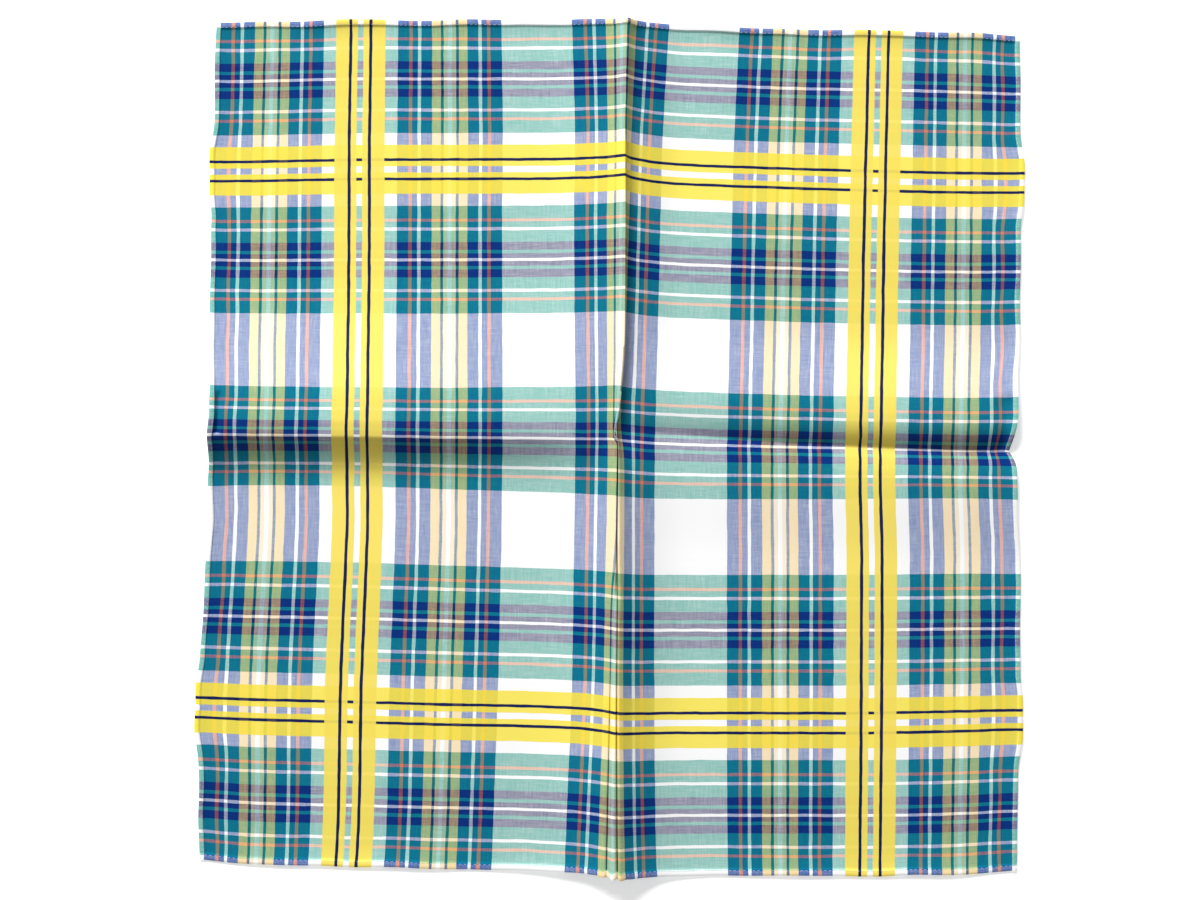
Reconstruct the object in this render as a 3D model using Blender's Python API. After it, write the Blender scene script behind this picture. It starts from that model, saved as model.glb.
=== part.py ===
"""Cotton handkerchief, opened out on a flat surface with the creases of a fold in four.

Metres, +Z up. The cloth lies face up on z = 0, its weft along X and its warp along Y, and the middle of its
bounding box stands over the origin. One pressed crease runs down the whole cloth as a ridge. The other
crosses it: it is a lower ridge on the left half, and a valley between raised lips on the right half.
A place on the flat cloth is given by two lengths in mm, across and along, from its middle thread each way.
"""
import math

import bmesh
import bpy

MM = 0.001

# The finished cloth from hem to hem, in mm, and its thickness
WIDTH = 434.2
LENGTH = 445.0
THICKNESS = 1.0

# The mesh: cells each way, and how close they lie beside a crease, as a share of the mean
CELLS_LEFT = 22
CELLS_RIGHT = 22
CELLS_HALF_LENGTH = 20
CLOSE_ACROSS = 0.17
CLOSE_ALONG = 0.24

# The upright ridge, in mm: the threads at its top and feet, how round its top is, and how far its sides reach
RIDGE_ACROSS = 3.1
LEFT_FOOT = -27.5
RIGHT_FOOT = 27.5
RIDGE_ROUNDING = 1.6
CREST_REACH_LEFT = 19.0
CREST_REACH_RIGHT = 15.0
SKIRT_REACH_LEFT = 50.0
SKIRT_REACH_RIGHT = 46.0
CREST_SHARE = 0.32

# The level crease, in mm: the left half's ridge, then the right half's valley and its two lips
FOLD_REACH = 46.0
FOLD_ROUNDING = 1.5
LIP_AT = 15.0
LIP_REACH = 62.0
NOTCH_HALF_WIDTH = 13.0
NOTCH_DEPTH = 5.6
NOTCH_FROM = 125.0
NOTCH_LEAST = 0.8
LIP_DRAW = 0.23
BUNCHING = 0.08

# The two woven bars that are wider than the cloth beside them, in mm: the middle thread of each, the
# distances from it between which the extra width fades, and how far it pushes the side hems out
BAR_ALONG = 143.8
BAR_NEAR = 8.5
BAR_FAR = 25.5
BAR_PUSH = 2.0
BAR_PUSH_REACH = 22.0

# Seven warp threads by their places across the flat cloth, and where each one lies along X, in mm. A row
# stands for a station down the cloth, with the ridge's height there and how far its top leans right.
WARP_THREADS = (-217.1, -139.9, LEFT_FOOT, RIDGE_ACROSS, RIGHT_FOOT, 139.9, 217.1)
WARP_COLUMNS = ("along", "left hem", "left bar", "left foot", "crest", "right foot", "right bar", "right hem",
                "height", "lean")
WARP_ROWS = (
    (223, -206.0, -130.3, -19.9, 8.7, 30.8, 140.8, 214.6, 15.0, 0.3),
    (163, -207.5, -131.3, -18.3, 7.6, 27.4, 139.4, 214.8, 15.0, 0.5),
    (113, -208.6, -131.4, -18.8, 7.8, 26.1, 138.2, 214.9, 15.0, 1.2),
    (48, -208.6, -131.3, -18.3, 7.1, 24.6, 137.3, 214.4, 14.5, 2.0),
    (0, -208.7, -130.5, -18.0, 4.8, 23.5, 137.2, 214.6, 13.5, 0.6),
    (-50, -210.4, -132.4, -18.8, 3.8, 23.0, 137.1, 214.8, 13.0, -1.0),
    (-128, -215.1, -135.7, -19.9, 3.0, 23.0, 136.9, 214.4, 12.0, -0.6),
    (-190, -215.3, -136.8, -22.5, 3.0, 23.5, 136.4, 213.3, 12.0, 0.0),
    (-223, -215.4, -138.3, -23.8, 3.2, 24.3, 136.0, 212.7, 12.0, 0.0),
)

# Seven weft threads by their places along the flat cloth, and where each one lies along Y, in mm. A row
# stands for a station across the cloth, with the height there of the level crease's ridge or of its lips,
# and how far above the middle thread its valley runs.
WEFT_THREADS = (222.5, 143.4, 28.4, 0.0, -28.4, -144.2, -222.5)
WEFT_COLUMNS = ("across", "top hem", "upper bar", "band top", "crease", "band foot", "lower bar", "foot hem",
                "ridge", "lips", "valley")
WEFT_ROWS = (
    (-217, 222.7, 144.4, 32.7, 7.3, -19.6, -135.7, -215.1, 9.0, 0.0, 0.0),
    (-190, 223.3, 144.6, 32.1, 7.1, -19.1, -137.0, -217.5, 9.0, 0.0, 0.0),
    (-140, 224.3, 145.6, 31.6, 6.7, -19.6, -138.3, -218.8, 8.5, 0.0, 0.0),
    (-97, 224.3, 145.7, 31.4, 5.9, -21.1, -139.5, -219.8, 7.5, 0.0, 0.0),
    (-27, 224.0, 145.9, 32.1, 5.1, -23.4, -141.1, -221.4, 4.5, 0.0, 0.0),
    (3, 223.0, 146.1, 32.5, 4.6, -24.6, -142.6, -223.0, 0.0, 0.0, 4.0),
    (28, 221.8, 143.6, 30.3, 2.6, -26.1, -143.9, -223.6, 0.0, 3.5, 6.0),
    (92, 219.4, 141.0, 27.9, 0.8, -26.4, -144.1, -223.6, 0.0, 6.5, 2.5),
    (140, 218.8, 139.5, 26.9, -0.2, -26.2, -144.1, -223.8, 0.0, 7.0, 0.8),
    (186, 217.6, 138.6, 26.2, -1.3, -26.0, -143.2, -222.8, 0.0, 7.5, 0.0),
    (217, 215.6, 138.4, 26.6, -1.5, -26.6, -142.2, -220.8, 0.0, 9.5, 0.0),
)

CLOTH_COLOUR = (0.42, 0.58, 0.52, 1.0)
CLOTH_ROUGHNESS = 0.85


def ease(share):
    """Turns a share from 0 to 1 into one that starts and ends level."""
    share = min(1.0, max(0.0, share))
    return share * share * (3 - 2 * share)


def bend(share, first, last, first_slope, last_slope):
    """Reads a smooth curve between two values that leaves and arrives with the slopes given."""
    square = share * share
    cube = square * share
    return ((2 * cube - 3 * square + 1) * first + (cube - 2 * square + share) * first_slope
            + (3 * square - 2 * cube) * last + (cube - square) * last_slope)


def slope_at(places, values, index):
    """Gives a curve's slope at one of its own points from the points on either side."""
    before = max(index - 1, 0)
    after = min(index + 1, len(places) - 1)
    return (values[after] - values[before]) / (places[after] - places[before])


def read_row(columns, rows, place):
    """Reads a table at a place between its stations, and gives each column's value by the column's name."""
    places = [row[0] for row in rows]
    step = 1 if places[1] > places[0] else -1
    index = 0
    while index < len(rows) - 2 and (place - places[index + 1]) * step > 0:
        index += 1
    span = places[index + 1] - places[index]
    share = min(1.0, max(0.0, (place - places[index]) / span))
    found = {}
    for number, column in enumerate(columns):
        values = [row[number] for row in rows]
        found[column] = bend(share, values[index], values[index + 1], slope_at(places, values, index) * span,
                             slope_at(places, values, index + 1) * span)
    return found


def skirt(distance, crest_reach, skirt_reach):
    """Gives a ridge's height at a distance down its side, as a share of the height of its top."""
    near = max(0.0, 1 - distance / crest_reach)
    far = max(0.0, 1 - distance / skirt_reach)
    return CREST_SHARE * near ** 3 + (1 - CREST_SHARE) * ease(far)


def ridge_share(across):
    """Gives the upright ridge's height above one warp thread, as a share of the height of its top."""
    offset = across - RIDGE_ACROSS
    distance = math.hypot(offset, RIDGE_ROUNDING) - RIDGE_ROUNDING
    if offset < 0:
        return skirt(distance, CREST_REACH_LEFT, SKIRT_REACH_LEFT)
    return skirt(distance, CREST_REACH_RIGHT, SKIRT_REACH_RIGHT)


def fold_height(along, column):
    """Gives the height of the level crease's ridge, in a column of the weft's table."""
    distance = math.hypot(along, FOLD_ROUNDING) - FOLD_ROUNDING
    return column["ridge"] * max(0.0, 1 - distance / FOLD_REACH) ** 3


def lip_height(along, column):
    """Gives the height of the lips beside the level crease's valley, in a column of the weft's table."""
    distance = math.hypot(along - column["valley"], FOLD_ROUNDING) - FOLD_ROUNDING
    rise = 1 - max(0.0, 1 - distance / LIP_AT) ** 2
    fall = 1 - ease((distance - LIP_AT) / (LIP_REACH - LIP_AT))
    return column["lips"] * rise * fall


def flank(across, foot, crest, foot_place, crest_place):
    """Places a thread on the ridge's side, where the cloth is steepest, and so most drawn in, at the top."""
    length = abs(crest - foot)
    taken_up = length - abs(crest_place - foot_place)
    distance = abs(across - crest)
    drawn = taken_up * (1 - (1 - distance / length) ** 3)
    return crest_place + math.copysign(distance - drawn, across - crest)


def neighbours(threads, names, row, thread):
    """Finds the two listed threads beside one thread: their names, their places, and its share of the way."""
    index = 0
    while index < len(threads) - 2 and (thread - threads[index + 1]) * (threads[-1] - threads[0]) > 0:
        index += 1
    share = (thread - threads[index]) / (threads[index + 1] - threads[index])
    return names[index], names[index + 1], row[names[index]], row[names[index + 1]], share


def place_warp(across, row, height_share):
    """Places one warp thread along X at a station whose row of the table is given."""
    names = WARP_COLUMNS[1:1 + len(WARP_THREADS)]
    before, after, low, high, share = neighbours(WARP_THREADS, names, row, across)
    crest_place = row["crest"] - row["lean"]
    if after == "crest":
        place = flank(across, LEFT_FOOT, RIDGE_ACROSS, low, crest_place)
    elif before == "crest":
        place = flank(across, RIGHT_FOOT, RIDGE_ACROSS, high, crest_place)
    else:
        place = low + (high - low) * share
    return place + row["lean"] * height_share ** 3


def place_weft(along, column):
    """Places one weft thread along Y at a station whose row of the table is given."""
    names = WEFT_COLUMNS[1:1 + len(WEFT_THREADS)]
    before, after, low, high, share = neighbours(WEFT_THREADS, names, column, along)
    if after == "crease":
        share += BUNCHING * share * (1 - share)
    if before == "crease":
        share -= BUNCHING * share * (1 - share)
    return low + (high - low) * share


def notch(across, along, lip):
    """Gives how far the valley and its lips draw the right half back to the middle, most at the hem."""
    if across <= 0:
        return 0.0
    width = ease(1 - abs(along) / NOTCH_HALF_WIDTH)
    deep = ease((across - NOTCH_FROM) / (WIDTH / 2 - NOTCH_FROM))
    valley = width * (NOTCH_LEAST * min(1.0, across / NOTCH_FROM) + (NOTCH_DEPTH - NOTCH_LEAST) * deep)
    return valley + LIP_DRAW * lip * across / (WIDTH / 2)


def bar_push(across, along):
    """Gives how far a woven bar pushes the side hem outwards."""
    near_bar = ease((BAR_FAR - abs(abs(along) - BAR_ALONG)) / (BAR_FAR - BAR_NEAR))
    near_hem = ease(1 - (WIDTH / 2 - abs(across)) / BAR_PUSH_REACH)
    return math.copysign(BAR_PUSH * near_bar * near_hem, across)


def stations(low, middle, high, cells_below, cells_above, closeness):
    """Lists the places of a mesh's lines, which lie closer together beside the middle one."""
    places = []
    for step in range(-cells_below, cells_above + 1):
        share = step / (cells_below if step < 0 else cells_above)
        reach = middle - low if step < 0 else high - middle
        places.append(middle + reach * share * (closeness + (1 - closeness) * share * share))
    return places


def lay_cloth():
    """Places each point of the cloth's underside, row by row from its foot to its top, in mm."""
    lines_across = stations(-WIDTH / 2, RIDGE_ACROSS, WIDTH / 2, CELLS_LEFT, CELLS_RIGHT, CLOSE_ACROSS)
    lines_along = stations(-LENGTH / 2, 0.0, LENGTH / 2, CELLS_HALF_LENGTH, CELLS_HALF_LENGTH, CLOSE_ALONG)
    columns = [read_row(WEFT_COLUMNS, WEFT_ROWS, across) for across in lines_across]
    shares = [ridge_share(across) for across in lines_across]
    points = []
    for along in lines_along:
        row = read_row(WARP_COLUMNS, WARP_ROWS, along)
        for across, column, share in zip(lines_across, columns, shares):
            lip = lip_height(along, column)
            x = place_warp(across, row, share) - notch(across, along, lip) + bar_push(across, along)
            y = place_weft(along, column)
            z = row["height"] * share + (fold_height(along, column) + lip) * (1 - share)
            points.append((x, y, max(0.0, z)))
    return points, len(lines_across)


def centred(points):
    """Moves the points so that the middle of their outline stands over the origin."""
    middle_x = (min(p[0] for p in points) + max(p[0] for p in points)) / 2
    middle_y = (min(p[1] for p in points) + max(p[1] for p in points)) / 2
    return [((x - middle_x) * MM, (y - middle_y) * MM, z * MM) for x, y, z in points]


def cloth_material():
    """Makes the plain woven cotton's material."""
    material = bpy.data.materials.new("woven_cotton")
    material.use_nodes = True
    shader = material.node_tree.nodes["Principled BSDF"]
    shader.inputs["Base Color"].default_value = CLOTH_COLOUR
    shader.inputs["Roughness"].default_value = CLOTH_ROUGHNESS
    shader.inputs["Metallic"].default_value = 0.0
    return material


def make_handkerchief():
    """Makes the hemmed cloth as one sheet and gives it its thickness upwards."""
    points, per_row = lay_cloth()
    bm = bmesh.new()
    verts = [bm.verts.new(point) for point in centred(points)]
    rows = len(verts) // per_row
    for row in range(rows - 1):
        for column in range(per_row - 1):
            corner = row * per_row + column
            bm.faces.new((verts[corner], verts[corner + 1], verts[corner + per_row + 1],
                          verts[corner + per_row]))
    mesh = bpy.data.meshes.new("handkerchief")
    bm.to_mesh(mesh)
    bm.free()
    mesh.shade_smooth()
    cloth = bpy.data.objects.new("handkerchief", mesh)
    bpy.context.scene.collection.objects.link(cloth)
    mesh.materials.append(cloth_material())
    solidify = cloth.modifiers.new("thickness", "SOLIDIFY")
    solidify.thickness = THICKNESS * MM
    solidify.offset = 1.0
    solidify.use_even_offset = True
    triangulate = cloth.modifiers.new("facets", "TRIANGULATE")
    triangulate.quad_method = "SHORTEST_DIAGONAL"
    return cloth


def main():
    """Clears the scene and makes the one piece."""
    for thing in list(bpy.data.objects):
        bpy.data.objects.remove(thing, do_unlink=True)
    make_handkerchief()


main()
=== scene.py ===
import logging
import math
from dataclasses import dataclass, field
from enum import Enum

import bpy
import numpy as np
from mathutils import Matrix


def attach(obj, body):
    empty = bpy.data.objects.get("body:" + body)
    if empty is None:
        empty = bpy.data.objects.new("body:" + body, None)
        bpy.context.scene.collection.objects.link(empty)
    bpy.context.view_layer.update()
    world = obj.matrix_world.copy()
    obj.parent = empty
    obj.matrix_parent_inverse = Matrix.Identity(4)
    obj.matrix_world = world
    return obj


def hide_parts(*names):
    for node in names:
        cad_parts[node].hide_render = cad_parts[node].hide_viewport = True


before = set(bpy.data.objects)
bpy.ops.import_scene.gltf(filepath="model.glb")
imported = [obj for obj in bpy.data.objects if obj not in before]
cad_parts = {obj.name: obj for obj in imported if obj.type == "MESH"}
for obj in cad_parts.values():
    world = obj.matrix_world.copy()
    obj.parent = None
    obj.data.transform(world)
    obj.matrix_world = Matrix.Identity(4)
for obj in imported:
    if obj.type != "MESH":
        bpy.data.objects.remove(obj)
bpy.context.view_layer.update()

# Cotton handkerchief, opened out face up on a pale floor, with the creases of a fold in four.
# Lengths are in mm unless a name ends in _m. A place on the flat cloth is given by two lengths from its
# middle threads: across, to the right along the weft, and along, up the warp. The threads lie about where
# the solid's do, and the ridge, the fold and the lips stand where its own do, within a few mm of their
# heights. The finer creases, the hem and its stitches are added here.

LOG = logging.getLogger("handkerchief")
Tree = bpy.types.NodeTree
Socket = bpy.types.NodeSocket

MM = 0.001
WIDTH = 434.2
LENGTH = 445.0
SIDE_HEM = 2.6
END_HEM = 3.2

WARP_THREADS = (-217.1, -139.9, -27.5, 3.1, 27.5, 139.9, 217.1)
WARP_COLUMNS = ("along", "left hem", "left bar", "left foot", "crest", "right foot", "right bar",
                "right hem", "height", "lean", "left bite", "right bite")
WARP_ROWS = (
    (223, -206.0, -130.3, -19.9, 8.7, 30.8, 140.8, 214.6, 13.0, 0.3, 3.0, 3.0),
    (163, -207.5, -131.3, -18.3, 7.6, 27.4, 139.4, 214.8, 12.5, 0.5, 3.0, 3.4),
    (113, -208.6, -131.4, -18.8, 7.8, 26.1, 138.2, 214.9, 12.5, 1.2, 3.0, 4.5),
    (48, -208.6, -131.3, -18.3, 7.1, 24.6, 137.3, 214.4, 12.0, 2.0, 3.0, 6.5),
    (25, -207.8, -131.0, -18.1, 6.05, 24.0, 137.2, 214.45, 12.0, 1.5, 3.0, 5.8),
    (0, -208.7, -131.4, -18.0, 4.8, 23.5, 137.2, 214.6, 12.0, 0.6, 3.0, 4.5),
    (-25, -210.0, -132.4, -18.35, 4.2, 23.2, 137.15, 214.75, 12.6, -0.3, 3.1, 3.6),
    (-50, -210.4, -132.4, -18.8, 3.8, 23.0, 137.1, 214.8, 13.0, -1.0, 3.2, 3.0),
    (-128, -215.1, -135.7, -19.9, 3.0, 23.0, 136.9, 214.4, 12.0, -0.6, 3.0, 3.0),
    (-190, -215.3, -136.8, -22.5, 3.0, 23.5, 136.4, 213.3, 12.0, 0.0, 3.0, 3.0),
    (-223, -215.4, -138.3, -23.8, 3.2, 24.3, 136.0, 212.7, 12.0, 0.0, 3.0, 3.0),
)

WEFT_THREADS = (222.5, 143.4, 28.4, 0.0, -28.4, -144.2, -222.5)
WEFT_COLUMNS = ("across", "top hem", "upper bar", "band top", "crease", "band foot", "lower bar",
                "foot hem", "ridge", "lips", "valley")
WEFT_ROWS = (
    (-217, 222.7, 144.4, 32.7, 7.3, -19.6, -135.7, -215.1, 11.0, 0.0, 0.0),
    (-190, 223.3, 144.6, 32.1, 7.1, -19.1, -137.0, -217.5, 11.5, 0.0, 0.0),
    (-140, 224.3, 145.6, 31.6, 6.7, -19.6, -138.3, -218.8, 11.5, 0.0, 0.0),
    (-97, 224.3, 145.7, 31.4, 5.9, -21.1, -139.5, -219.8, 10.0, 0.0, 0.0),
    (-27, 224.0, 145.9, 32.1, 5.1, -23.4, -141.1, -221.4, 6.0, 0.0, 0.0),
    (3, 223.0, 146.1, 32.5, 4.6, -24.6, -142.6, -223.0, 0.0, 0.0, 4.0),
    (28, 221.8, 143.6, 30.3, 2.6, -26.1, -143.9, -223.6, 0.0, 2.6, 6.0),
    (92, 219.4, 141.0, 27.9, 0.8, -26.4, -144.1, -223.6, 0.0, 4.6, 2.5),
    (140, 218.8, 139.5, 26.9, -0.2, -26.2, -144.1, -223.8, 0.0, 6.0, 0.8),
    (186, 217.6, 138.6, 26.2, -1.3, -26.0, -143.2, -222.8, 0.0, 6.2, 0.0),
    (217, 215.6, 138.4, 26.6, -1.5, -26.6, -142.2, -220.8, 0.0, 7.0, 0.0),
)

# The level fold's section in the left half: steep below the crease, a long slope above it
FOLD_COLUMNS = ("along", "share")
FOLD_ROWS = (
    (-70, 0.0), (-36, 0.0), (-26, 0.03), (-20, 0.1), (-14, 0.28), (-7, 0.61), (-1, 0.92), (0, 0.95),
    (5, 0.99), (10, 1.0), (24, 0.9), (46, 0.56), (80, 0.16), (115, 0.0),
)

# The upright ridge's section in the lower half: a rounded top and an even slope on the right
RIDGE_COLUMNS = ("across", "share")
RIDGE_ROWS = (
    (-53, 0.0), (-40, 0.05), (-27.5, 0.19), (-18, 0.35), (-9.3, 0.62), (-4.7, 0.8), (0, 0.95), (3.1, 1.0),
    (6, 0.97), (9.3, 0.86), (14, 0.67), (20, 0.45), (27.5, 0.22), (38, 0.05), (48, 0.0),
)

# The tuck below the middle, which swallows the stripes between the two buff ones: how far it draws each
# thread to the right, and how far it raises it
TUCK_COLUMNS = ("across", "drawn", "raised")
TUCK_ROWS = (
    (-22, 0.0, 0.0), (-14, 0.1, 0.0), (-9.3, 0.35, 0.2), (-7, 1.05, 0.5), (-4.7, 1.9, 0.8),
    (-3.1, 1.4, -1.8), (-1, 0.72, -6.4), (0, 0.49, -7.4), (1, 0.32, -6.4), (3.1, 0.1, -2.6),
    (4.7, -0.2, 0.4), (6, -0.05, 0.5), (7.5, 0.15, 0.2), (9.3, 0.3, 0.0), (14, 0.0, 0.0),
)

# Where the cloth is drawn aside, in ovals: how far each reaches both ways, and how far it draws the middle
PULL_COLUMNS = ("name", "across", "along", "reach across", "reach along", "drawn")
PULLS = (
    ("ridge's right side, above the middle", 9.5, 17.0, 6.5, 20.0, -1.7),
    ("foot of the tuck", 2.0, 5.0, 4.0, 6.5, -1.2),
    ("left hem on the fold", -217.0, -5.0, 7.0, 9.0, -0.6),
    ("left hem above the fold", -217.0, 12.0, 5.0, 7.0, 0.6),
)

# The mesh's cells: each row goes from one place on the flat cloth to another in cells of about a size
CELLS_ACROSS = (
    (-217.1, -208.5, 0.48), (-208.5, -60.0, 3.6), (-60.0, -16.0, 2.0), (-16.0, -6.0, 0.9),
    (-6.0, 12.0, 0.45), (12.0, 24.0, 1.0), (24.0, 60.0, 2.2), (60.0, 213.5, 3.6), (213.5, 217.1, 0.45),
)
CELLS_ALONG = (
    (-222.5, -218.3, 0.5), (-218.3, -60.0, 3.6), (-60.0, -20.0, 2.0), (-20.0, 28.0, 0.8), (28.0, 60.0, 1.8),
    (60.0, 218.3, 3.6), (218.3, 222.5, 0.5),
)

# Small creases, given one by one: soft ridges, or troughs where the height is below zero, each from one
# place
# on the flat cloth to another
CREASE_COLUMNS = ("name", "from across", "from along", "to across", "to along", "half width", "height")
SMALL_CREASES = (
    ("tuck at the middle", 3.0, 26.0, -1.6, 4.0, 0.9, 1.2),
    ("hollow left of the tuck", -0.6, 20.0, -3.8, 3.0, 0.9, -1.0),
    ("hollow right of the tuck", 4.2, 20.0, 1.2, 3.0, 1.0, -1.5),
    ("dimple", -1.4, 3.4, 1.0, 2.0, 1.1, -1.8),
    ("groove along the tuck and below it", 4.0, -24.0, 4.0, -223.0, 1.0, -3.0),
    ("groove's neighbour on the left", -4.0, -112.0, -4.0, -223.0, 0.8, -1.8),
    ("hollow inside the right hem", 210.5, 30.0, 211.5, 3.0, 3.6, -2.4),
    ("hollow inside the left hem", -212.5, 26.0, -212.5, 2.0, 1.6, -1.8),
)

# A slow uneven wave is the sum of straight ones, each stretched by a factor from this range
RIPPLE_WAVES = 6
RIPPLE_STRETCH = (0.7, 1.5)
WHITE_LIGHT = (1.0, 1.0, 1.0, 1.0)


def linear(colour: str) -> tuple[float, float, float, float]:
    """Turns a colour from sRGB to linear light.

    Args:
        colour: the colour as six hex digits after a hash sign.

    Returns:
        Red, green, blue and an alpha of 1, each from 0 to 1.
    """
    parts = [int(colour[start:start + 2], 16) / 255 for start in (1, 3, 5)]
    lit = [part / 12.92 if part <= 0.04045 else ((part + 0.055) / 1.055) ** 2.4 for part in parts]
    return lit[0], lit[1], lit[2], 1.0


def ease(share: np.ndarray) -> np.ndarray:
    """Turns shares from 0 to 1 into ones that start and end level.

    Args:
        share: the shares, which are held between 0 and 1 first.

    Returns:
        The eased shares.
    """
    share = np.clip(share, 0.0, 1.0)
    return share * share * (3 - 2 * share)


def read_table(columns: tuple, rows: tuple, places: np.ndarray) -> dict[str, np.ndarray]:
    """Reads every column of a table along smooth curves through its stations.

    Args:
        columns: the names of the columns, the station's first.
        rows: the table's rows, in order of station.
        places: the places to read it at.

    Returns:
        For each column's name, its values at the places.
    """
    table = np.array(rows, dtype=float)
    if table[0, 0] > table[-1, 0]:
        table = table[::-1]
    stations = table[:, 0]
    before = np.maximum(np.arange(len(stations)) - 1, 0)
    after = np.minimum(np.arange(len(stations)) + 1, len(stations) - 1)
    index = np.clip(np.searchsorted(stations, places) - 1, 0, len(stations) - 2)
    span = stations[index + 1] - stations[index]
    share = np.clip((places - stations[index]) / span, 0.0, 1.0)
    square, cube = share ** 2, share ** 3
    found = {}
    for number, name in enumerate(columns):
        values = table[:, number]
        slopes = (values[after] - values[before]) / (stations[after] - stations[before])
        found[name] = ((2 * cube - 3 * square + 1) * values[index]
                       + (cube - 2 * square + share) * slopes[index] * span
                       + (3 * square - 2 * cube) * values[index + 1]
                       + (cube - square) * slopes[index + 1] * span)
    return found


def mesh_lines(cells: tuple) -> np.ndarray:
    """Lists the places of a mesh's lines on the flat cloth.

    Args:
        cells: rows of from, to and cell size.

    Returns:
        The places, from the lowest to the highest.
    """
    places = [cells[0][0]]
    for start, end, size in cells:
        count = max(1, round((end - start) / size))
        places += [start + (end - start) * step / count for step in range(1, count + 1)]
    return np.array(places)


def ripple(across: np.ndarray, along: np.ndarray, length: float, seed: int) -> np.ndarray:
    """Gives a slow uneven wave over the cloth, the same each time for a seed.

    Args:
        across: places across the flat cloth.
        along: places along it.
        length: the mean length of a wave.
        seed: the number that the wave's pattern is drawn from.

    Returns:
        The wave's height at each place, mostly between -1 and 1.
    """
    source = np.random.default_rng(seed)
    total = np.zeros(np.broadcast(across, along).shape)
    for _ in range(RIPPLE_WAVES):
        angle, phase = source.uniform(0, 2 * math.pi, 2).tolist()
        stretch = source.uniform(*RIPPLE_STRETCH)
        way = (across * math.cos(angle) + along * math.sin(angle)) / (length * stretch)
        total = total + np.sin(2 * math.pi * way + phase) / RIPPLE_WAVES
    return 2 * total


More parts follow.
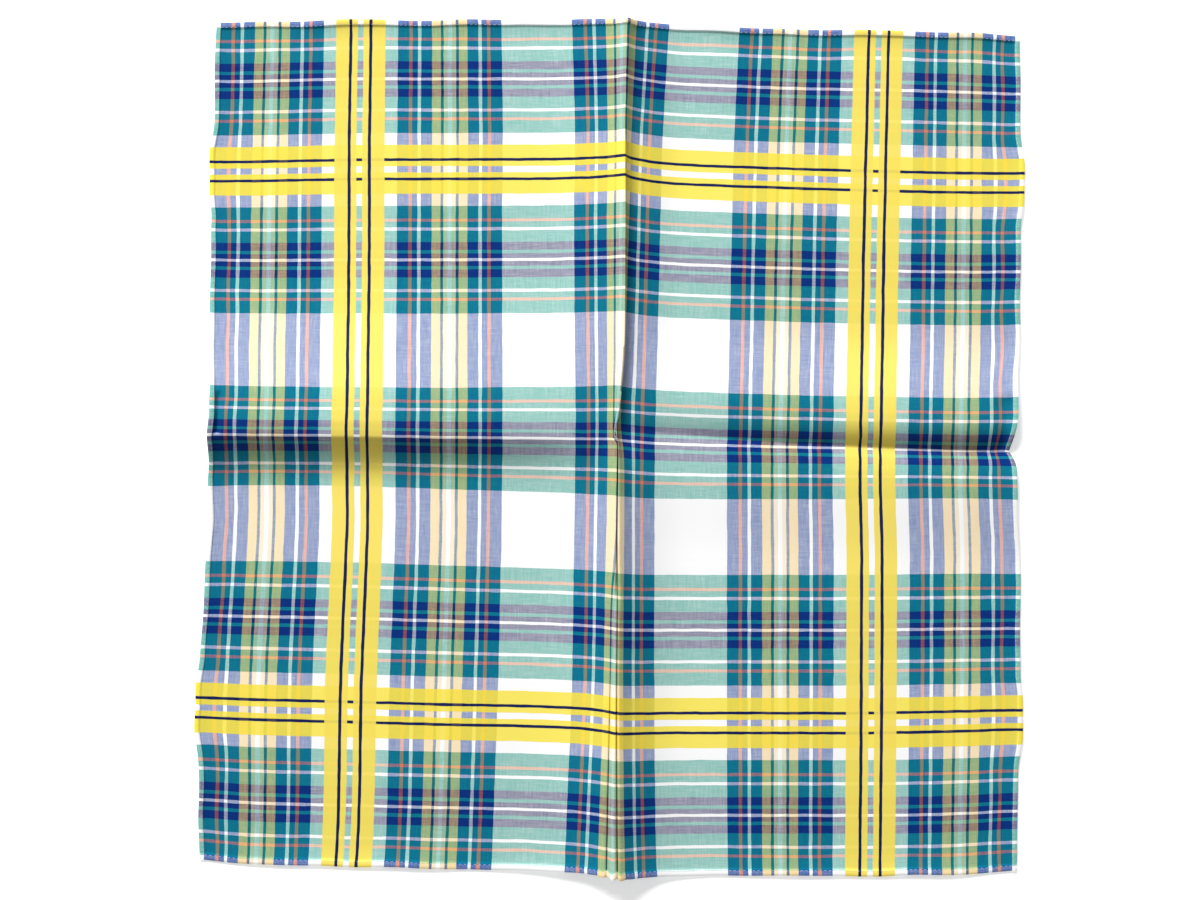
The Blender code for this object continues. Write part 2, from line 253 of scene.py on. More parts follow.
@dataclass(frozen=True)
class LaidForm:
    """Where each place of the flat cloth lies, in mm: the solid's folds and the finer creases on them."""

    # The upright ridge
    ridge_across: float = 3.1
    ridge_rounding: float = 1.2
    crest_reach_left: float = 19.0
    crest_reach_right: float = 15.0
    skirt_reach_left: float = 50.0
    skirt_reach_right: float = 35.0
    crest_share: float = 0.5
    round_from: float = 8.0
    round_over: float = 26.0
    # The lips beside the level crease's valley
    fold_rounding: float = 0.8
    lip_at: float = 16.0
    lip_power: float = 2.0
    lip_below: float = 0.45
    lip_reach: float = 62.0
    # The tuck below the middle, and the share of its length over which a small crease rises
    tuck_from: float = 1.5
    tuck_over: float = 5.0
    tuck_to: float = -95.0
    tuck_end: float = 50.0
    tuck_shift: float = 3.4
    crease_start: float = 0.25
    # The bumps of the foot hem at the ridge
    bump_pitch: float = 7.2
    bump_reach: float = 9.0
    bump_from: float = 206.0
    bump_depth: float = 0.8
    # The notch at the right hem, how far the lips draw the threads in, and how those bunch at the crease
    notch_above: float = 20.0
    notch_below: float = 12.0
    notch_rounding: float = 0.8
    notch_depth: float = 5.0
    notch_from: float = 186.0
    notch_least: float = 1.7
    lip_draw: float = 0.34
    bunching: float = 0.08
    # The side hems beside the woven bars
    bar_along: float = 143.8
    bar_near: float = 8.5
    bar_far: float = 25.5
    bar_push: float = 2.0
    bar_push_reach: float = 22.0
    # How far the cloth stands off the floor, and its waves
    hem_lift: float = 0.7
    hem_lift_reach: float = 9.0
    hem_lift_change: float = 0.5
    unevenness: float = 0.22
    wave_length: float = 62.0
    wave_seed: int = 4
    hem_wave: float = 0.35
    hem_wave_length: float = 34.0
    hem_wave_seeds: tuple = (5, 6)
    hem_wave_reach: float = 25.0
    side_wave_from: float = 190.0
    end_wave_from: float = 195.0

    def ridge_share(self, across: np.ndarray, along: np.ndarray) -> np.ndarray:
        """Gives the upright ridge's height at each thread, pointed above the middle and round below it.

        Args:
            across: places across the flat cloth.
            along: places along it.

        Returns:
            The height at each place as a share of the top's.
        """
        offset = across - self.ridge_across
        distance = np.hypot(offset, self.ridge_rounding) - self.ridge_rounding
        crest_reach = np.where(offset < 0, self.crest_reach_left, self.crest_reach_right)
        skirt_reach = np.where(offset < 0, self.skirt_reach_left, self.skirt_reach_right)
        near = np.maximum(0.0, 1 - distance / crest_reach)
        far = ease(1 - distance / skirt_reach)
        pointed = self.crest_share * near ** 3 + (1 - self.crest_share) * far
        rounded = read_table(RIDGE_COLUMNS, RIDGE_ROWS, across)["share"]
        return pointed + (rounded - pointed) * ease((self.round_from - along) / self.round_over)

    def flank(self, across: np.ndarray, foot: float, foot_place: np.ndarray, crest_place: np.ndarray,
              bite: np.ndarray) -> np.ndarray:
        """Places threads on the ridge's side, most drawn in at the top.

        Args:
            across: the threads' places on the flat cloth.
            foot: the place of the thread at the ridge's foot.
            foot_place: where that thread lies along X.
            crest_place: where the crest's thread lies along X.
            bite: how closely the drawing in keeps to the top.

        Returns:
            Where the threads lie along X.
        """
        length = abs(self.ridge_across - foot)
        taken_up = length - np.abs(crest_place - foot_place)
        distance = np.abs(across - self.ridge_across)
        left = np.clip(1 - distance / length, 0.0, 1.0)
        drawn = taken_up * (1 - left ** bite)
        return crest_place + np.sign(across - self.ridge_across) * (distance - drawn)

    def place_warp(self, across: np.ndarray, rows: dict, share: np.ndarray) -> np.ndarray:
        """Places the warp threads along X.

        Args:
            across: the threads' places on the flat cloth, as one row.
            rows: the warp's table, read at places along the cloth, each as one column.
            share: the ridge's height above each thread as a share of the top's.

        Returns:
            Where each thread lies along X, a row for each place along the cloth.
        """
        names = WARP_COLUMNS[1:1 + len(WARP_THREADS)]
        crest_place = rows["crest"] - rows["lean"]
        placed = np.zeros(np.broadcast(across, crest_place).shape)
        for index in range(len(WARP_THREADS) - 1):
            first, second = WARP_THREADS[index], WARP_THREADS[index + 1]
            if names[index + 1] == "crest":
                values = self.flank(across, first, rows[names[index]], crest_place, rows["left bite"])
            elif names[index] == "crest":
                values = self.flank(across, second, rows[names[index + 1]], crest_place, rows["right bite"])
            else:
                part = (across - first) / (second - first)
                values = rows[names[index]] * (1 - part) + rows[names[index + 1]] * part
            here = (across >= first) if index else np.full_like(across, True, dtype=bool)
            placed = np.where(here, values, placed)
        return placed + rows["lean"] * share ** 3

    def place_weft(self, along: np.ndarray, columns: dict) -> np.ndarray:
        """Places the weft threads along Y.

        Args:
            along: the threads' places on the flat cloth, as one column.
            columns: the weft's table, read at places across the cloth, each as one row.

        Returns:
            Where each thread lies along Y, a row for each thread.
        """
        names = WEFT_COLUMNS[1:1 + len(WEFT_THREADS)]
        placed = np.zeros(np.broadcast(along, columns["crease"]).shape)
        for index in range(len(WEFT_THREADS) - 1):
            first, second = WEFT_THREADS[index], WEFT_THREADS[index + 1]
            part = (first - along) / (first - second)
            if names[index + 1] == "crease":
                part = part + self.bunching * part * (1 - part)
            if names[index] == "crease":
                part = part - self.bunching * part * (1 - part)
            values = columns[names[index]] * (1 - part) + columns[names[index + 1]] * part
            here = (along <= first) if index else np.full_like(along, True, dtype=bool)
            placed = np.where(here, values, placed)
        return placed

    def lips(self, along: np.ndarray, columns: dict) -> np.ndarray:
        """Gives the height of the lips beside the level crease's valley.

        Args:
            along: places along the flat cloth, as one column.
            columns: the weft's table, read at places across the cloth.

        Returns:
            The height at each place.
        """
        distance = np.hypot(along - columns["valley"], self.fold_rounding) - self.fold_rounding
        rise = 1 - np.maximum(0.0, 1 - distance / self.lip_at) ** self.lip_power
        fall = 1 - ease((distance - self.lip_at) / (self.lip_reach - self.lip_at))
        return columns["lips"] * rise * fall

    def notch(self, across: np.ndarray, along: np.ndarray, lip: np.ndarray) -> np.ndarray:
        """Gives how far the valley and its lips draw the right half back to the middle.

        Args:
            across: places across the flat cloth.
            along: places along it.
            lip: the height of the lips there.

        Returns:
            The distance at each place.
        """
        half = WIDTH / 2
        distance = np.hypot(along, self.notch_rounding) - self.notch_rounding
        reach = np.where(along > 0, self.notch_above, self.notch_below)
        width = np.maximum(0.0, 1 - distance / reach) ** 2
        deep = np.clip((across - self.notch_from) / (half - self.notch_from), 0.0, 1.0) ** 2
        least = self.notch_least * np.clip(across / half, 0.0, 1.0)
        valley = width * (least + (self.notch_depth - self.notch_least) * deep)
        return valley + self.lip_draw * lip * np.clip(across, 0.0, None) / half

    def edge_lift(self, across: np.ndarray, along: np.ndarray) -> np.ndarray:
        """Gives how far the cloth stands off the floor at its hems, and how uneven it is elsewhere.

        Args:
            across: places across the flat cloth.
            along: places along it.

        Returns:
            The height at each place.
        """
        wave = ripple(across, along, self.wave_length, self.wave_seed)
        inside = np.minimum(WIDTH / 2 - np.abs(across), LENGTH / 2 - np.abs(along))
        near_hem = ease(1 - inside / self.hem_lift_reach)
        hem_lift = self.hem_lift * near_hem * (1 + self.hem_lift_change * wave)
        return self.unevenness * (1 + wave) + hem_lift

    def bar_width(self, across: np.ndarray, along: np.ndarray) -> np.ndarray:
        """Gives how far a woven bar pushes the side hems outwards.

        Args:
            across: places across the flat cloth.
            along: places along it.

        Returns:
            The distance along X at each place, below zero on the left.
        """
        off_bar = np.abs(np.abs(along) - self.bar_along)
        near_bar = ease((self.bar_far - off_bar) / (self.bar_far - self.bar_near))
        near_hem = ease(1 - (WIDTH / 2 - np.abs(across)) / self.bar_push_reach)
        return np.sign(across) * self.bar_push * near_bar * near_hem

    def pulls(self, across: np.ndarray, along: np.ndarray) -> np.ndarray:
        """Adds up how far the cloth is drawn aside.

        Args:
            across: places across the flat cloth.
            along: places along it.

        Returns:
            The distance along X at each place.
        """
        total = np.zeros(np.broadcast(across, along).shape)
        for values in PULLS:
            row = dict(zip(PULL_COLUMNS, values))
            off = np.hypot((across - row["across"]) / row["reach across"],
                           (along - row["along"]) / row["reach along"])
            total = total + row["drawn"] * np.exp(-off ** 2)
        return total

    def tuck(self, across: np.ndarray, along: np.ndarray) -> tuple[np.ndarray, np.ndarray]:
        """Gives how the tuck below the middle moves the cloth. It runs into the groove on its right.

        Args:
            across: places across the flat cloth.
            along: places along it.

        Returns:
            How far it draws each place along X, and how far it raises it.
        """
        begun = ease((self.tuck_from - along) / self.tuck_over)
        left = ease((along - self.tuck_to) / self.tuck_end)
        row = read_table(TUCK_COLUMNS, TUCK_ROWS, across - self.tuck_shift * (1 - left))
        return row["drawn"] * begun * left, row["raised"] * begun * left

    def hem_bumps(self, across: np.ndarray, along: np.ndarray) -> np.ndarray:
        """Gives how far the foot hem's three small bumps at the ridge move each place along Y."""
        wave = np.cos(2 * math.pi * across / self.bump_pitch) * np.exp(-(across / self.bump_reach) ** 2)
        return -self.bump_depth * wave * ease((-along - self.bump_from) / (LENGTH / 2 - self.bump_from))

    def small_creases(self, across: np.ndarray, along: np.ndarray) -> np.ndarray:
        """Adds up the heights of the small creases.

        Args:
            across: places across the flat cloth.
            along: places along it.

        Returns:
            Their height at each place.
        """
        total = np.zeros(np.broadcast(across, along).shape)
        for values in SMALL_CREASES:
            row = dict(zip(CREASE_COLUMNS, values))
            way_across = row["to across"] - row["from across"]
            way_along = row["to along"] - row["from along"]
            squared = way_across ** 2 + way_along ** 2
            past_across = across - row["from across"]
            past_along = along - row["from along"]
            part = (past_across * way_across + past_along * way_along) / squared
            held = np.clip(part, 0.0, 1.0)
            off = np.hypot(past_across - held * way_across, past_along - held * way_along)
            begun = np.sqrt(ease(held / self.crease_start))
            total = total + row["height"] * np.exp(-(off / row["half width"]) ** 2) * begun
        return total

    def lay(self, across: np.ndarray, along: np.ndarray) -> np.ndarray:
        """Places points of the cloth's underside.

        Args:
            across: places across the flat cloth, one for each column of points.
            along: places along it, one for each row of points.

        Returns:
            The points in mm, as rows by columns by X, Y and Z.
        """
        rows = read_table(WARP_COLUMNS, WARP_ROWS, along)
        rows = {name: values[:, None] for name, values in rows.items()}
        columns = read_table(WEFT_COLUMNS, WEFT_ROWS, across)
        columns = {name: values[None, :] for name, values in columns.items()}
        across, along = across[None, :], along[:, None]
        share = self.ridge_share(across, along)
        lip = self.lips(along, columns)
        fold = columns["ridge"] * read_table(FOLD_COLUMNS, FOLD_ROWS, along)["share"]
        raised = lip * np.where(along > columns["valley"], 1.0, self.lip_below)
        drawn, lifted = self.tuck(across, along)
        x = self.place_warp(across, rows, share) - self.notch(across, along, lip)
        x = x + self.bar_width(across, along) + self.pulls(across, along) + drawn
        y = self.place_weft(along, columns) + self.hem_bumps(across, along)
        z = rows["height"] * share + (fold + raised) * (1 - share) + self.small_creases(across, along)
        z = z + self.edge_lift(across, along) + lifted
        waves = [self.hem_wave * ripple(across, along, self.hem_wave_length, seed)
                 for seed in self.hem_wave_seeds]
        x = x + waves[0] * ease((np.abs(across) - self.side_wave_from) / self.hem_wave_reach)
        y = y + waves[1] * ease((np.abs(along) - self.end_wave_from) / self.hem_wave_reach)
        return np.stack((x, y, np.maximum(0.0, z)), axis=-1)


class Yarn(Enum):
    """The cotton yarns: the colour each was dyed, and how far it floats over the yarns that cross it."""

    WHITE = ("#FFFFFF", 0.0)
    CREAM = ("#FBE7BE", 0.0)
    BUFF = ("#F9DA95", 0.06)
    BLUE = ("#0053A6", 0.0)
    FINE_BLUE = ("#24557F", 0.0)
    ORANGE = ("#DC7C61", 0.0)
    YELLOW_SATIN = ("#F9E262", 0.94)
    NAVY_CORD = ("#0A1A50", 1.0)
    TEAL = ("#0AA898", 0.0)
    NAVY = ("#00006B", 0.0)
    PALE_ORANGE = ("#E4A27C", 0.0)
    YELLOW_BAR = ("#FBE74C", 0.86)


# The stripes of half a band or bar, from its middle outwards, and their widths. Beyond the last one the
# yarn is white.
STRIPE_COLUMNS = ("yarn", "width")
WARP_BAND = (
    (Yarn.WHITE, 1.05), (Yarn.CREAM, 2.10), (Yarn.FINE_BLUE, 1.57), (Yarn.BUFF, 4.60), (Yarn.BLUE, 5.76),
    (Yarn.WHITE, 1.78), (Yarn.BLUE, 2.84), (Yarn.ORANGE, 1.75), (Yarn.BLUE, 6.05),
)
WARP_BAR = (
    (Yarn.WHITE, 1.44), (Yarn.YELLOW_SATIN, 3.03), (Yarn.NAVY_CORD, 1.55), (Yarn.YELLOW_SATIN, 7.08),
)
WEFT_BAND = (
    (Yarn.WHITE, 0.75), (Yarn.NAVY, 2.53), (Yarn.TEAL, 1.83), (Yarn.NAVY, 4.19), (Yarn.TEAL, 6.10),
    (Yarn.WHITE, 1.65), (Yarn.TEAL, 3.15), (Yarn.PALE_ORANGE, 1.50), (Yarn.TEAL, 6.70),
)
WEFT_BAR = (
    (Yarn.WHITE, 1.57), (Yarn.YELLOW_BAR, 2.78), (Yarn.NAVY_CORD, 1.45), (Yarn.YELLOW_BAR, 7.12),
)
WARP_BAND_MIDDLES = (0.0, 92.7, 187.1)
WARP_BAR_MIDDLE = 139.9
WEFT_BAND_MIDDLES = (0.0, 96.1, 191.5)
WEFT_BAR_MIDDLE = 143.9


def add(tree: Tree, kind: str, *inputs: object, output: int = 0, **settings: object) -> Socket:
    """Adds a node with its settings and links.

    Args:
        tree: the node tree that it goes into.
        kind: the node's type.
        inputs: for each input in order, the socket to link, a value, or None to leave it.
        output: the number of the output to give back.
        settings: the node's own settings by name.

    Returns:
        The chosen output.
    """
    node = tree.nodes.new(kind)
    for name, value in settings.items():
        setattr(node, name, value)
    for socket, value in zip(node.inputs, inputs):
        if isinstance(value, Socket):
            tree.links.new(value, socket)
        elif value is not None:
            socket.default_value = value
    return node.outputs[output]


def maths(tree: Tree, operation: str, *inputs: object) -> Socket:
    """Adds a node that works out a number from sockets or numbers, and gives its output."""
    return add(tree, "ShaderNodeMath", *inputs, operation=operation)


def mix(tree: Tree, share: object, first: object, second: object, blend: str = "MIX") -> Socket:
    """Adds a node that mixes two colours.

    Args:
        tree: the node tree that it goes into.
        share: the second colour's share.
        first: the first colour.
        second: the second colour.
        blend: the way in which they mix.

    Returns:
        The mixed colour.
    """
    return add(tree, "ShaderNodeMix", share, None, None, None, None, None, first, second, output=2,
               data_type="RGBA", blend_type=blend)


def noise(tree: Tree, place: Socket, other: Socket, size: tuple, seed: float, rough: float) -> Socket:
    """Adds a noise that can be drawn out along the threads.

    Args:
        tree: the node tree that it goes into.
        place: the place across the threads, in mm.
        other: the place along them, in mm.
        size: the noise's size across them and along them, in mm.
        seed: the number that sets its pattern.
        rough: how strong its finer part is, from 0 to 1.

    Returns:
        The noise, about -0.5 to 0.5.
    """
    first = maths(tree, "DIVIDE", place, size[0])
    second = maths(tree, "DIVIDE", other, size[1])
    where = add(tree, "ShaderNodeCombineXYZ", first, second, seed)
    value = add(tree, "ShaderNodeTexNoise", where, None, 1.0, 2.0, rough)
    return maths(tree, "SUBTRACT", value, 0.5)


@dataclass(frozen=True)
class Sett:
    """How the threads of one direction run: bands and two bars, alike on both sides of the middle."""

    band: tuple
    bar: tuple
    band_middles: tuple
    bar_middle: float
    span: float = 32.0

    def stops(self, ramp: bpy.types.ColorRamp, stripes: tuple) -> float:
        """Writes half a band's stripes into a ramp of hard steps.

        Args:
            ramp: the ramp.
            stripes: the stripes from the middle outwards.

        Returns:
            Where the last stripe ends, in mm from the middle.
        """
        ramp.interpolation = "CONSTANT"
        start = 0.0
        for number, values in enumerate((*stripes, (Yarn.WHITE, 0.0))):
            row = dict(zip(STRIPE_COLUMNS, values))
            colour, floats = row["yarn"].value
            place = start / self.span
            stop = ramp.elements[0] if number == 0 else ramp.elements.new(place)
            stop.position = place
            stop.color = (*linear(colour)[:3], floats)
            start += row["width"]
        ramp.elements.remove(ramp.elements[-1])
        return start

    def weave(self, tree: Tree, place: Socket) -> tuple:
        """Finds the yarn at a place.

        Args:
            tree: the material's node tree.
            place: the place across the threads, in mm from the middle.

        Returns:
            Two outputs: the yarn's colour and how far it floats.
        """
        outwards = maths(tree, "ABSOLUTE", place)
        offs = [maths(tree, "ABSOLUTE", maths(tree, "SUBTRACT", outwards, middle))
                for middle in (self.bar_middle, *self.band_middles)]
        bar_off, nearest = offs[:2]
        for off in offs[2:]:
            nearest = maths(tree, "MINIMUM", nearest, off)
        colours, floats, ends = [], [], []
        for off, stripes in ((nearest, self.band), (bar_off, self.bar)):
            share = maths(tree, "DIVIDE", off, self.span)
            colours.append(add(tree, "ShaderNodeValToRGB", share))
            floats.append(colours[-1].node.outputs["Alpha"])
            ends.append(self.stops(colours[-1].node.color_ramp, stripes))
        in_bar = maths(tree, "LESS_THAN", bar_off, ends[1])
        colour = mix(tree, in_bar, *colours)
        return colour, add(tree, "ShaderNodeMix", in_bar, None, *floats, data_type="FLOAT")


@dataclass(frozen=True)
class WovenCotton:
    """Fine plain-woven cotton, dyed in the yarn, with satin stripes and corded lines: matt, a little silky
    where the yellow yarns float, and mottled where coloured yarns cross white ones."""

    name: str = "yarn_dyed_cotton_plain_weave"
    # The cloth has about 34 threads to the centimetre, 0.29 mm apart, too fine to show. They are drawn
    # 0.6 mm apart, as coarse as they need to be to show.
    thread: float = 0.6
    check_share: float = 0.03
    # How far the threads wander from their straight lines
    wander: float = 0.34
    wander_size: tuple = (3.0, 9.0)
    wander_seed: float = 0.34
    wander_rough: float = 0.5
    # How far thick places in the warp, the same in the weft, and specks change the warp's share
    slub_size: tuple = (0.7, 11.0)
    speck_size: tuple = (0.8, 0.8)
    mottling: tuple = (0.5, 0.45, 0.25)
    mottling_seeds: tuple = (3.0, 7.0, 11.0)
    mottling_rough: float = 0.6
    end_hem_change: float = 0.32
    side_hem_change: float = -0.2
    # How light white yarn is, and how much the two yarns' colours deepen each other where they cross
    white_share: float = 0.84
    product_share: float = 1.4
    rough: float = 0.88
    satin_rough: float = 0.62
    satin_from: float = 0.5
    satin_relief: float = 1.6
    relief: float = 0.3
    relief_height_m: float = 0.00008
    specular: float = 0.1
    sheen: float = 0.02
    sheen_rough: float = 0.5

    def make(self) -> bpy.types.Material:
        """Makes the cloth's material, which reads the cloth's flat places in mm.

        Returns:
            The material.
        """
        material = bpy.data.materials.new(self.name)
        material.use_nodes = True
        tree = material.node_tree
        shader = tree.nodes["Principled BSDF"]
        flat = add(tree, "ShaderNodeAttribute", attribute_name="flat_cloth", output=1)
        apart = add(tree, "ShaderNodeSeparateXYZ", flat)
        across, along = apart, apart.node.outputs[1]
        uneven_across = self.uneven(tree, across, along)
        uneven_along = self.uneven(tree, along, across)
        warp_sett = Sett(WARP_BAND, WARP_BAR, WARP_BAND_MIDDLES, WARP_BAR_MIDDLE)
        weft_sett = Sett(WEFT_BAND, WEFT_BAR, WEFT_BAND_MIDDLES, WEFT_BAR_MIDDLE)
        warp, warp_floats = warp_sett.weave(tree, uneven_across)
        weft, weft_floats = weft_sett.weave(tree, uneven_along)
        check = self.over_and_under(tree, across, along)
        share = self.warp_share(tree, across, along, warp_floats, weft_floats, check)
        colour = self.mixed(tree, warp, weft, share)
        tree.links.new(colour, shader.inputs["Base Color"])
        floats = maths(tree, "MAXIMUM", warp_floats, weft_floats)
        rough = add(tree, "ShaderNodeMapRange", floats, self.satin_from, 1.0, self.rough, self.satin_rough)
        tree.links.new(rough, shader.inputs["Roughness"])
        plain = maths(tree, "SUBTRACT", 1.0, floats)
        relief = maths(tree, "MULTIPLY", check, plain)
        relief = maths(tree, "MULTIPLY_ADD", floats, self.satin_relief, relief)
        bump = add(tree, "ShaderNodeBump", self.relief, self.relief_height_m, None, relief)
        tree.links.new(bump, shader.inputs["Normal"])
        shader.inputs["Specular IOR Level"].default_value = self.specular
        shader.inputs["Sheen Weight"].default_value = self.sheen
        shader.inputs["Sheen Roughness"].default_value = self.sheen_rough
        return material

    def uneven(self, tree: Tree, place: Socket, other: Socket) -> Socket:
        """Lets threads wander a little from their straight lines.

        Args:
            tree: the material's node tree.
            place: the place across the threads, in mm.
            other: the place along them, in mm.

        Returns:
            The place with the wandering added.
        """
        drift = noise(tree, place, other, self.wander_size, self.wander_seed, self.wander_rough)
        return maths(tree, "MULTIPLY_ADD", drift, 2 * self.wander, place)

    def over_and_under(self, tree: Tree, across: Socket, along: Socket) -> Socket:
        """Gives the weave's checks: 1 where a warp thread is on top, -1 where a weft thread is.

        Args:
            tree: the material's node tree.
            across: the place across the cloth, in mm.
            along: the place along it, in mm.

        Returns:
            The output.
        """
        waves = []
        for place in (across, along):
            turns = maths(tree, "MULTIPLY", place, math.pi / self.thread)
            waves.append(maths(tree, "SINE", turns))
        return maths(tree, "MULTIPLY", waves[0], waves[1])

    def warp_share(self, tree: Tree, across: Socket, along: Socket, warp_floats: Socket,
                   weft_floats: Socket, check: Socket) -> Socket:
        """Works out how much of what shows is warp: half in plain weave, all where it floats.

        Args:
            tree: the material's node tree.
            across: the place across the cloth, in mm.
            along: the place along it, in mm.
            warp_floats: how far the warp floats.
            weft_floats: how far the weft floats.
            check: the weave's checks.

        Returns:
            The warp's share, from 0 to 1.
        """
        under = maths(tree, "SUBTRACT", 1.0, warp_floats)
        lost = maths(tree, "MULTIPLY", under, weft_floats)
        gained = maths(tree, "SUBTRACT", warp_floats, lost)
        share = maths(tree, "MULTIPLY_ADD", gained, 0.5, 0.5)
        crossed = maths(tree, "SUBTRACT", 1.0, weft_floats)
        crossed = maths(tree, "MULTIPLY", crossed, under)
        kinds = ((across, along, self.slub_size), (along, across, self.slub_size),
                 (across, along, self.speck_size))
        for (place, other, size), seed, most in zip(kinds, self.mottling_seeds, self.mottling):
            slubs = noise(tree, place, other, size, seed, self.mottling_rough)
            slubs = maths(tree, "MULTIPLY", slubs, crossed)
            share = maths(tree, "MULTIPLY_ADD", slubs, most, share)
        share = maths(tree, "MULTIPLY_ADD", check, self.check_share, share)
        for place, half, hem, change in ((along, LENGTH / 2, END_HEM, self.end_hem_change),
                                         (across, WIDTH / 2, SIDE_HEM, self.side_hem_change)):
            outwards = maths(tree, "ABSOLUTE", place)
            in_hem = maths(tree, "GREATER_THAN", outwards, half - hem)
            in_hem = maths(tree, "MULTIPLY", in_hem, under)
            share = maths(tree, "MULTIPLY_ADD", in_hem, change, share)
        return add(tree, "ShaderNodeClamp", share, 0.0, 1.0)

    def mixed(self, tree: Tree, warp: Socket, weft: Socket, share: Socket) -> Socket:
        """Mixes the two yarns' colours as they show together.

        Args:
            tree: the material's node tree.
            warp: the warp yarn's colour.
            weft: the weft yarn's colour.
            share: the warp's share.

        Returns:
            The cloth's colour.
        """
        mean = mix(tree, share, weft, warp)
        product = mix(tree, 1.0, warp, weft, "MULTIPLY")
        rest = maths(tree, "SUBTRACT", 1.0, share)
        plain = maths(tree, "MULTIPLY", share, rest)
        plain = maths(tree, "MULTIPLY", plain, self.product_share)
        both = mix(tree, plain, mean, product)
        white = (self.white_share, self.white_share, self.white_share, 1.0)
        return mix(tree, 1.0, both, white, "MULTIPLY")


@dataclass(frozen=True)
class SewingThread:
    """Spun white cotton sewing thread: matt, with its strands' twist showing as faint slanting lines, the
    grooves between the strands painted darker as painted shade.
    """

    name: str = "spun_cotton_sewing_thread"
    colour: str = "#DCDCE2"
    # The share of the thread's colour left in the twist's grooves: painted shade, not a darker yarn
    groove_shade_share: float = 0.85
    rough: float = 0.8
    twist: float = 1400.0
    twist_unevenness: float = 2.0
    relief: float = 0.4
    relief_height_m: float = 0.00005

    def make(self) -> bpy.types.Material:
        """Makes the thread's material.

        Returns:
            The material.
        """
        material = bpy.data.materials.new(self.name)
        material.use_nodes = True
        tree = material.node_tree
        shader = tree.nodes["Principled BSDF"]
        place = add(tree, "ShaderNodeTexCoord", output=3)
        strands = add(tree, "ShaderNodeTexWave", place, self.twist, self.twist_unevenness,
                      wave_type="BANDS", bands_direction="DIAGONAL", output=1)
        light = linear(self.colour)
        # Painted shade: the twist's grooves get a darker copy of the white thread's colour
        groove_shade = tuple(part * self.groove_shade_share for part in light[:3]) + (1.0,)
        colour = mix(tree, strands, groove_shade, light)
        tree.links.new(colour, shader.inputs["Base Color"])
        bump = add(tree, "ShaderNodeBump", self.relief, self.relief_height_m, None, strands)
        tree.links.new(bump, shader.inputs["Normal"])
        shader.inputs["Roughness"].default_value = self.rough
        return material


def clear_selection() -> None:
    """Deselects everything."""
    bpy.ops.object.select_all(action="DESELECT")


@dataclass
class Cloth:
    """The hemmed cloth: a thin sheet on the laid form, thicker where its hem is turned over."""

    form: LaidForm = field(default_factory=LaidForm)
    thickness: float = 0.30
    hem_thickness: float = 0.85
    hem_step: float = 0.45
    edge_weight: float = 0.45
    edge_round: float = 0.9
    least_weight: float = 0.001
    smooth_degrees: float = 50.0
    outline_stations: int = 121

    def hem_weight(self, across: np.ndarray, along: np.ndarray) -> np.ndarray:
        """Gives how far the cloth thickens to its hem.

        Args:
            across: places across the flat cloth.
            along: places along it.

        Returns:
            0 for a single layer to 1 for the turned hem.
        """
        weights = []
        for place, half, hem in ((across, WIDTH / 2, SIDE_HEM), (along, LENGTH / 2, END_HEM)):
            inside = half - np.abs(place)
            step = 1 - ease((inside - hem + self.hem_step / 2) / self.hem_step)
            rounded = self.edge_weight + (1 - self.edge_weight) * ease(inside / self.edge_round)
            weights.append(step * rounded)
        return np.maximum(weights[0], weights[1])

    def build(self) -> bpy.types.Object:
        """Makes the sheet and gives it its thickness.

        Returns:
            The cloth.
        """
        lines_across = mesh_lines(CELLS_ACROSS)
        lines_along = mesh_lines(CELLS_ALONG)
        clear_selection()
        bpy.ops.mesh.primitive_grid_add(x_subdivisions=len(lines_across) - 1,
                                        y_subdivisions=len(lines_along) - 1, size=2, calc_uvs=True)
        cloth = bpy.context.object
        cloth.name = cloth.data.name = "handkerchief_cloth"
        mesh = cloth.data
        start = np.empty(len(mesh.vertices) * 3)
        mesh.vertices.foreach_get("co", start)
        start = start.reshape(-1, 3)
        column = np.rint((start[:, 0] + 1) / 2 * (len(lines_across) - 1)).astype(int)
        row = np.rint((start[:, 1] + 1) / 2 * (len(lines_along) - 1)).astype(int)
        points = self.form.lay(lines_across, lines_along)
        points[..., :2] -= self.middle()
        mesh.vertices.foreach_set("co", (points[row, column] * MM).ravel())
        flat = np.stack((lines_across[column], lines_along[row], np.zeros(len(row))), axis=-1)
        mesh.attributes.new("flat_cloth", "FLOAT_VECTOR", "POINT").data.foreach_set("vector", flat.ravel())
        weights = self.hem_weight(flat[:, 0], flat[:, 1])
        group = cloth.vertex_groups.new(name="hem")
        for number in np.nonzero(weights > self.least_weight)[0].tolist():
            group.add([number], float(weights[number]), "REPLACE")
        solid = cloth.modifiers.new("layers", "SOLIDIFY")
        solid.thickness = self.hem_thickness * MM
        solid.offset = 1.0
        solid.vertex_group = "hem"
        solid.thickness_vertex_group = self.thickness / self.hem_thickness
        bpy.ops.object.modifier_apply(modifier=solid.name)
        bpy.ops.object.shade_smooth_by_angle(angle=math.radians(self.smooth_degrees))
        return cloth

    def middle(self) -> np.ndarray:
        """Finds the middle of the cloth's outline, which goes over the origin.

        Returns:
            Its X and Y in mm.
        """
        across = np.linspace(-WIDTH / 2, WIDTH / 2, self.outline_stations)
        along = np.linspace(-LENGTH / 2, LENGTH / 2, self.outline_stations)
        points = self.form.lay(across, along).reshape(-1, 3)
        return (points.min(axis=0) + points.max(axis=0))[:2] / 2


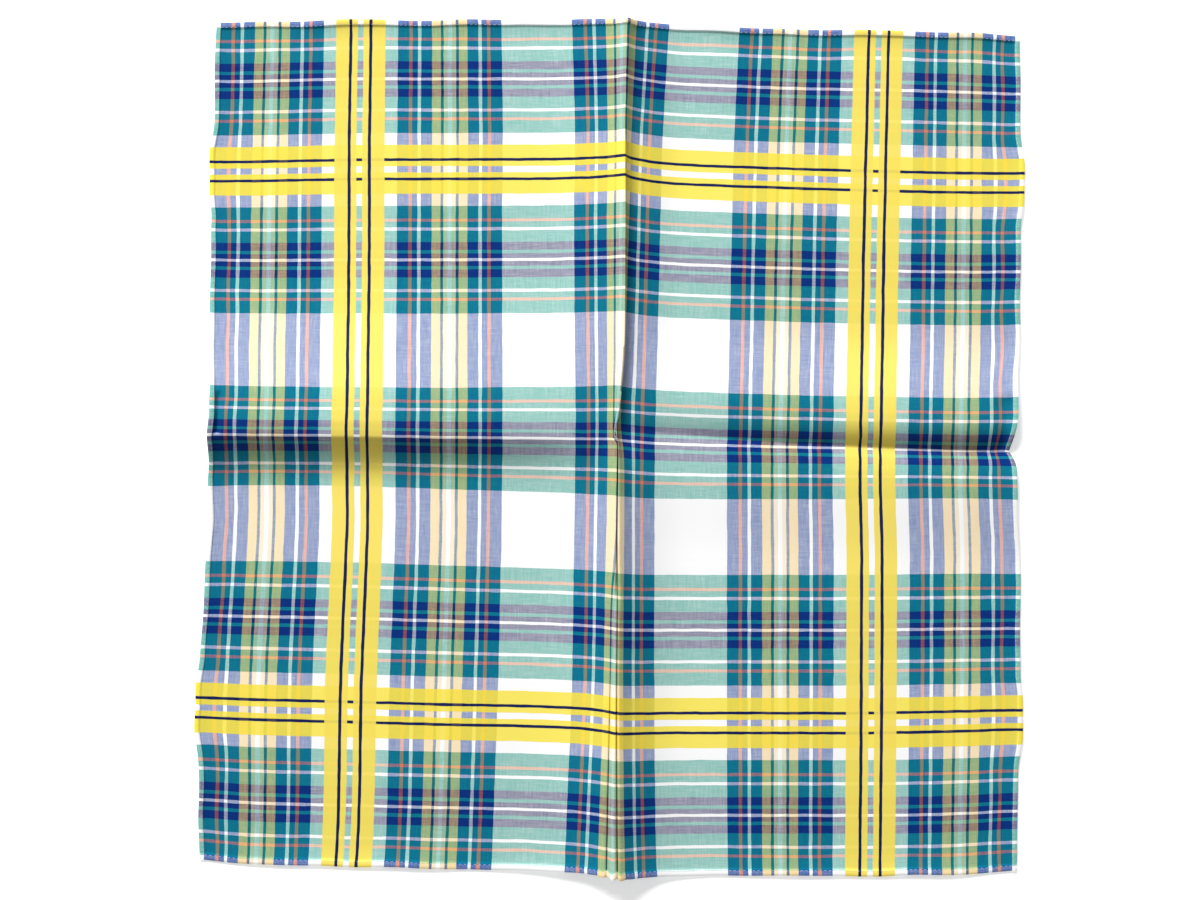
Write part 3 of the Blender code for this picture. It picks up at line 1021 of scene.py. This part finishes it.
@dataclass
class HemStitches:
    """The row of machine stitches that holds the hem down, along its inner edge."""

    cloth: Cloth
    length: float = 1.4
    gap: float = 1.1
    half_thread: float = 0.09
    in_from_step: float = 0.55
    off_cloth: float = 0.05
    # The slope at a stitch is taken over this far along the hem both ways, and this far across it
    reach_along: float = 1.0
    reach_across: float = 0.3

    def build(self) -> bpy.types.Object:
        """Makes one stitch, then copies it along the four hems.

        Returns:
            All the stitches as one piece.
        """
        clear_selection()
        bpy.ops.mesh.primitive_uv_sphere_add(segments=6, ring_count=5, radius=1.0)
        stitches = bpy.context.object
        stitches.name = stitches.data.name = "hem_stitches"
        mesh = stitches.data
        shape = np.empty(len(mesh.vertices) * 3)
        mesh.vertices.foreach_get("co", shape)
        shape = shape.reshape(-1, 3)
        faces = [list(face.vertices) for face in mesh.polygons]
        frames = self.frames()
        points = []
        corners = []
        for number, (middle, forwards, sideways, upwards) in enumerate(frames):
            along = shape[:, 2:3] * self.length / 2 * forwards
            points.append(middle + along + shape[:, 0:1] * self.half_thread * sideways
                          + shape[:, 1:2] * self.half_thread * upwards)
            corners += [[corner + number * len(shape) for corner in face] for face in faces]
        mesh.clear_geometry()
        mesh.from_pydata(np.concatenate(points) * MM, [], corners)
        mesh.update()
        mesh.shade_smooth()
        return stitches

    def frames(self) -> list[tuple]:
        """Finds where each stitch goes.

        Returns:
            For each stitch its middle and its three directions, in mm.
        """
        cloth = self.cloth
        side = WIDTH / 2 - SIDE_HEM + self.in_from_step
        end = LENGTH / 2 - END_HEM + self.in_from_step
        step = self.length + self.gap
        middle = np.append(cloth.middle(), 0.0)
        found = []
        hems = ((-side, end, True), (side, end, True), (-end, side, False), (end, side, False))
        for place, half_length, runs_along in hems:
            count = int(2 * half_length / step)
            stations = (np.arange(count) - (count - 1) / 2) * step
            stations = np.concatenate((stations - self.reach_along, stations + self.reach_along))
            fixed = np.array([place, place + self.reach_across])
            if runs_along:
                grid = cloth.form.lay(fixed, stations).swapaxes(0, 1)
            else:
                grid = cloth.form.lay(stations, fixed)
            ends = grid[0, :count], grid[0, count:]
            beside = grid[1, :count] - ends[0]
            forwards = ends[1] - ends[0]
            forwards /= np.linalg.norm(forwards, axis=1)[:, None]
            upwards = np.cross(beside, forwards)
            upwards /= np.linalg.norm(upwards, axis=1)[:, None]
            upwards *= np.sign(upwards[:, 2:3])
            sideways = np.cross(upwards, forwards)
            centres = (ends[0] + ends[1]) / 2 - middle + upwards * (cloth.hem_thickness + self.off_cloth)
            found += list(zip(centres, forwards, sideways, upwards))
        return found


@dataclass
class Studio:
    """The pale floor, glowing a little as painted light, the soft light from the upper left, and the camera
    straight above.
    """

    camera_at_m: tuple = (-0.00498, -0.00105, 0.95)
    lens: float = 54.39
    sensor: float = 36.0
    floor_reach_m: float = 3.0
    floor_at_m: tuple = (0.0, 0.0, -0.0002)
    floor_colour: str = "#F4F4F4"
    floor_rough: float = 0.95
    light_at_m: tuple = (-1.25, 3.15, 2.12)
    light_size_m: float = 1.5
    light_power: float = 280.0
    sky_power: float = 0.33
    # Painted light: the floor glows evenly, so that shadows cast on it fade towards white; the glow also
    # lights the cloth a little
    painted_floor_glow: float = 0.42

    def build(self) -> None:
        """Makes the floor, the lights and the camera."""
        clear_selection()
        bpy.ops.mesh.primitive_plane_add(size=self.floor_reach_m, location=self.floor_at_m)
        floor = bpy.context.object
        floor.name = "floor"
        paint = bpy.data.materials.new("matt_white_board_with_painted_glow")
        paint.use_nodes = True
        shader = paint.node_tree.nodes["Principled BSDF"]
        shader.inputs["Base Color"].default_value = linear(self.floor_colour)
        shader.inputs["Roughness"].default_value = self.floor_rough
        shader.inputs["Specular IOR Level"].default_value = 0.0
        # The floor's glow is painted light, not a lamp: it lifts the shadows that fall on the floor
        shader.inputs["Emission Color"].default_value = WHITE_LIGHT
        shader.inputs["Emission Strength"].default_value = self.painted_floor_glow
        floor.data.materials.append(paint)
        world = bpy.data.worlds.new("studio")
        world.use_nodes = True
        sky = world.node_tree.nodes["Background"]
        sky.inputs["Color"].default_value = WHITE_LIGHT
        sky.inputs["Strength"].default_value = self.sky_power
        bpy.context.scene.world = world
        window = bpy.data.lights.new("window", "AREA")
        window.energy = self.light_power
        window.size = self.light_size_m
        lamp = bpy.data.objects.new("window", window)
        bpy.context.scene.collection.objects.link(lamp)
        across, along, up = self.light_at_m
        lamp.location = self.light_at_m
        lamp.rotation_euler = (math.atan2(math.hypot(across, along), up), 0.0, math.atan2(across, -along))
        lens = bpy.data.cameras.new("camera")
        lens.lens = self.lens
        lens.sensor_width = self.sensor
        camera = bpy.data.objects.new("camera", lens)
        camera.location = self.camera_at_m
        bpy.context.scene.collection.objects.link(camera)
        bpy.context.scene.camera = camera
        bpy.context.scene.view_settings.view_transform = "Standard"


def main() -> None:
    """Builds the pieces in order and says what each one is."""
    logging.basicConfig(level=logging.INFO, format="%(message)s")
    Studio().build()
    cloth = Cloth()
    sheet = cloth.build()
    sheet.data.materials.clear()
    sheet.data.materials.append(WovenCotton().make())
    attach(sheet, "root")
    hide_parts("handkerchief")
    LOG.info("cloth: %d faces", len(sheet.data.polygons))
    stitches = HemStitches(cloth).build()
    stitches.data.materials.clear()
    stitches.data.materials.append(SewingThread().make())
    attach(stitches, "root")
    LOG.info("hem stitches: %d faces", len(stitches.data.polygons))


if __name__ == "__main__":
    main()
